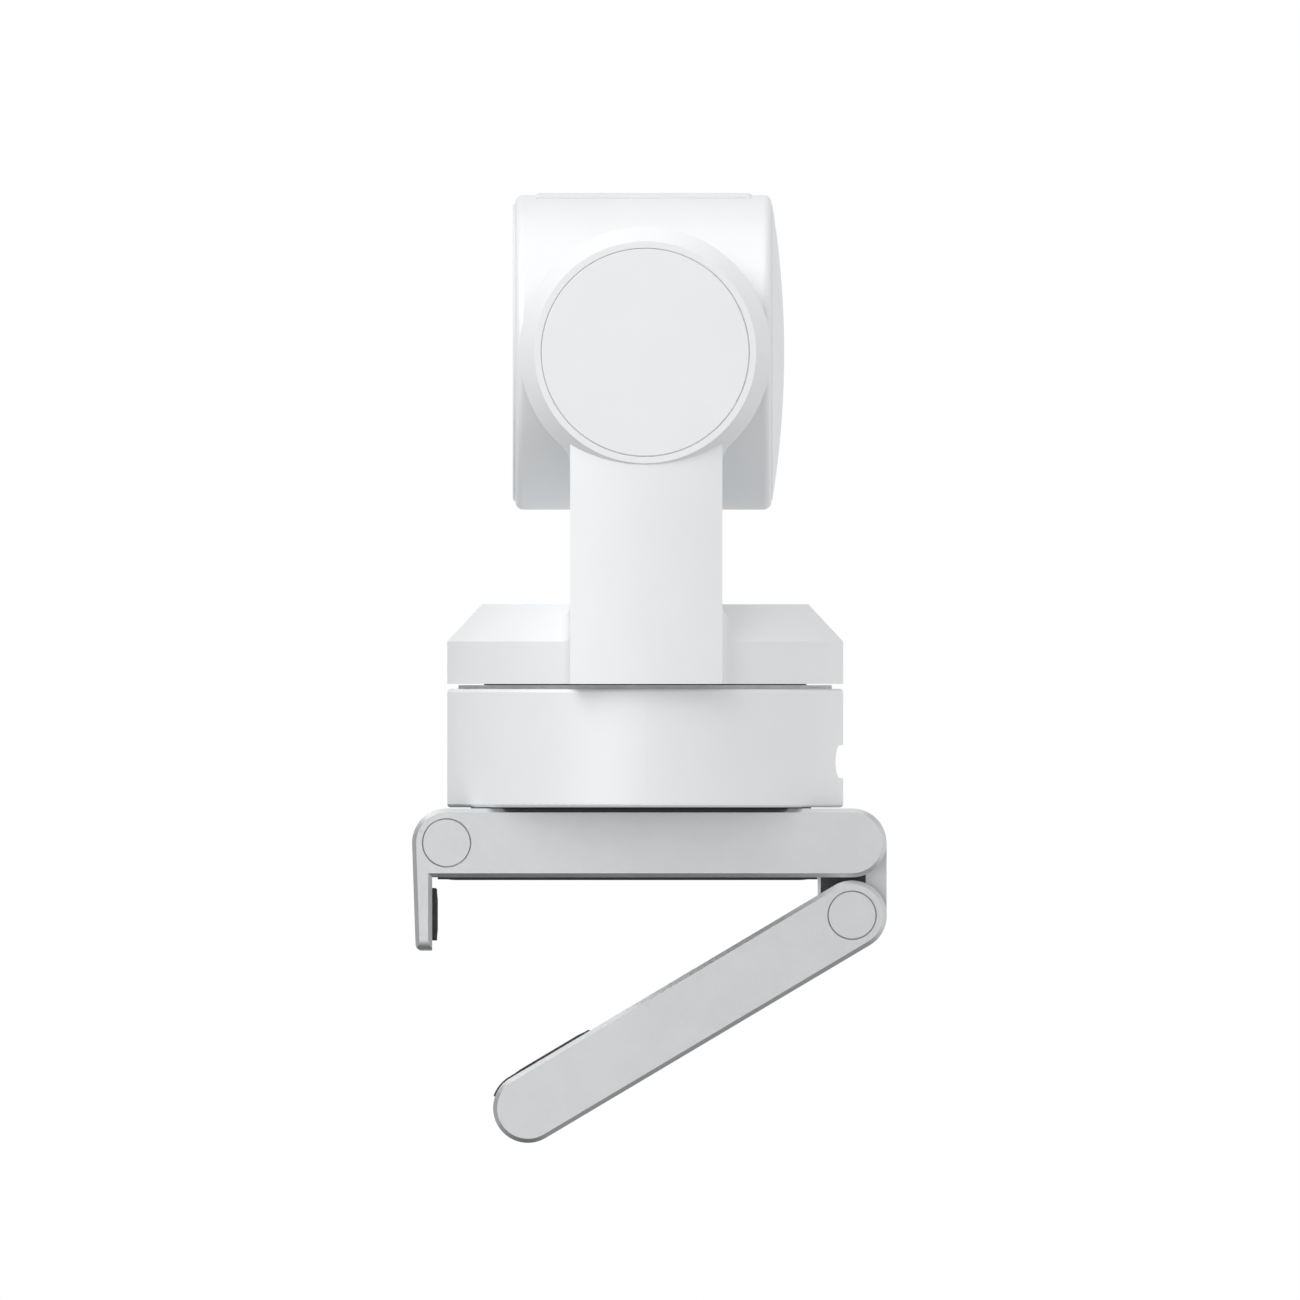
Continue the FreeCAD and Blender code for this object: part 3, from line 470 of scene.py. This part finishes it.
# Softly broken edges on the arm's and the base's shells, so that they catch the light.
EDGE_WIDTHS = {"yoke_shell": 0.22, "base_shell": 0.15}
EDGE_ANGLE = math.radians(28)
for name, width in EDGE_WIDTHS.items():
    softened = NODES[name].modifiers.new("broken_edges", "BEVEL")
    softened.width = width * MM
    softened.segments = 2
    softened.limit_method = "ANGLE"
    softened.angle_limit = EDGE_ANGLE
    softened.use_clamp_overlap = True

# Stage, light and camera -------------------------------------------------------------------------
FLOOR_DROP = 0.030
FLOOR_HALF = 3
FLOOR_Z = CAD_BOX[0].z - FLOOR_DROP

corners = ((-1, -1), (1, -1), (1, 1), (-1, 1))
floor_mesh = bpy.data.meshes.new("floor")
floor_mesh.from_pydata([(FLOOR_HALF * x, FLOOR_HALF * y, FLOOR_Z) for x, y in corners],
                       [], [(0, 1, 2, 3)])
floor = bpy.data.objects.new("floor", floor_mesh)
bpy.context.scene.collection.objects.link(floor)
floor_look = Shader("floor_look")
floor_look.colour(floor_look.noise(3.0), grey(0.86), grey(0.88))
floor_look.roughness(floor_look.noise(8.0), 0.85, 0.95)
floor.data.materials.append(floor_look.material)
# The floor is only a backdrop: it neither lights the object nor blocks the light from below.
floor.visible_diffuse = False
floor.visible_glossy = False
floor.visible_shadow = False

# How strongly the studio shines from overhead, from below, and from just above and just below
# the horizon towards +X, -Y, +Y and -X. On the unit sphere, ABOVE is fullest at height BAND and
# BELOW at -BAND. Between those they fade into each other, beyond them into the two poles.
# OVERHEAD, ABOVE and BELOW weren't chosen by eye: they are the rounded result of a least-squares
# fit, made outside this script. One number in BELOW was then lowered.
OVERHEAD = 0.56
UNDERFOOT = 0.12
ABOVE = (0.48, 0.33, 0.95, 0.78)
BELOW = (0.91, 0.54, 0.98, 0.80)
BAND = 0.35
BACKDROP = 1.0
LEAST_LEVEL = 0.00001

world = bpy.data.worlds.new("studio")
bpy.context.scene.world = world
world.use_nodes = True
links = world.node_tree.links
world.node_tree.nodes.clear()


def calc(operation, first, second=0.0, clamp=False):
    """A math node in the world's tree. Its inputs are numbers or other nodes' outputs."""
    made = world.node_tree.nodes.new("ShaderNodeMath")
    made.operation = operation
    made.use_clamp = clamp
    for socket, value in zip(made.inputs, (first, second)):
        if isinstance(value, (int, float)):
            socket.default_value = value
        else:
            links.new(value, socket)
    return made.outputs[0]


def background(strength):
    """A white background shader. Its strength is a number or another node's output."""
    made = world.node_tree.nodes.new("ShaderNodeBackground")
    made.inputs["Color"].default_value = (1.0, 1.0, 1.0, 1.0)
    if isinstance(strength, float):
        made.inputs["Strength"].default_value = strength
    else:
        links.new(strength, made.inputs["Strength"])
    return made.outputs["Background"]


split = world.node_tree.nodes.new("ShaderNodeSeparateXYZ")
links.new(world.node_tree.nodes.new("ShaderNodeTexCoord").outputs["Generated"], split.inputs[0])
to_x, to_y, to_z = split.outputs
level = calc("MAXIMUM", calc("SUBTRACT", 1.0, calc("MULTIPLY", to_z, to_z)), LEAST_LEVEL)


def around(strengths):
    """Blend four strengths by how far a direction leans to +X, -Y, +Y and -X."""
    total = 0.0
    for axis, sign, strength in zip((to_x, to_y, to_y, to_x), (1, -1, 1, -1), strengths):
        lean = calc("MAXIMUM", calc("MULTIPLY", axis, sign), 0.0)
        share = calc("DIVIDE", calc("MULTIPLY", lean, lean), level)
        total = calc("ADD", calc("MULTIPLY", share, strength), total)
    return total


up = calc("DIVIDE", calc("SUBTRACT", to_z, BAND), 1 - BAND, clamp=True)
down = calc("DIVIDE", calc("SUBTRACT", -BAND, to_z), 1 - BAND, clamp=True)
over = calc("DIVIDE", calc("ADD", to_z, BAND), 2 * BAND, clamp=True)
under = calc("SUBTRACT", 1.0, over)
shine = calc("ADD", calc("MULTIPLY", up, OVERHEAD), calc("MULTIPLY", down, UNDERFOOT))
shine = calc("ADD", shine, calc("MULTIPLY", around(ABOVE), calc("SUBTRACT", over, up)))
shine = calc("ADD", shine, calc("MULTIPLY", around(BELOW), calc("SUBTRACT", under, down)))
mix = world.node_tree.nodes.new("ShaderNodeMixShader")
path = world.node_tree.nodes.new("ShaderNodeLightPath")
links.new(path.outputs["Is Camera Ray"], mix.inputs["Fac"])
links.new(background(shine), mix.inputs[1])
links.new(background(BACKDROP), mix.inputs[2])
out = world.node_tree.nodes.new("ShaderNodeOutputWorld")
links.new(mix.outputs["Shader"], out.inputs["Surface"])

AIM = Vector((0.0, 0.0, 0.045))
LAMP_DISTANCE = 1.2


def softbox(name, azimuth, elevation, width, height, power, diffuse=True):
    """A soft light aimed at the object. Azimuth 0 is +X, 90 is +Y; angles in degrees."""
    light = bpy.data.lights.new(name, "AREA")
    light.shape = "RECTANGLE"
    light.size = width
    light.size_y = height
    light.energy = power
    lamp = bpy.data.objects.new(name, light)
    a, e = math.radians(azimuth), math.radians(elevation)
    lamp.location = AIM + LAMP_DISTANCE * Vector(
        (math.cos(a) * math.cos(e), math.sin(a) * math.cos(e), math.sin(e)))
    lamp.rotation_mode = "QUATERNION"
    lamp.rotation_quaternion = (AIM - lamp.location).to_track_quat("-Z", "Y")
    lamp.visible_camera = False
    lamp.visible_diffuse = diffuse
    bpy.context.scene.collection.objects.link(lamp)


# high_glint's power comes from the same fit, and the key's started from it.
softbox("key", -45, 42, 0.9, 0.9, 9.3)
softbox("low_glint", -22, 4, 0.55, 0.9, 2.6, diffuse=False)
softbox("high_glint", -22, 30, 0.35, 0.5, 2.0, diffuse=False)
softbox("top_glint", 0, 84, 1.2, 1.0, 2.4, diffuse=False)

# The camera looks along -X, level, without perspective.
VIEW_WIDTH = 0.1904
CAMERA_SPOT = Vector((1.0, 0.0007, 0.0336))

eye = bpy.data.cameras.new("camera")
eye.type = "ORTHO"
eye.ortho_scale = VIEW_WIDTH
camera = bpy.data.objects.new("camera", eye)
camera.rotation_mode = "QUATERNION"
camera.location = CAMERA_SPOT
camera.rotation_quaternion = Vector((-1.0, 0.0, 0.0)).to_track_quat("-Z", "Y")
bpy.context.scene.collection.objects.link(camera)
bpy.context.scene.camera = camera
bpy.context.scene.view_settings.view_transform = "Standard"
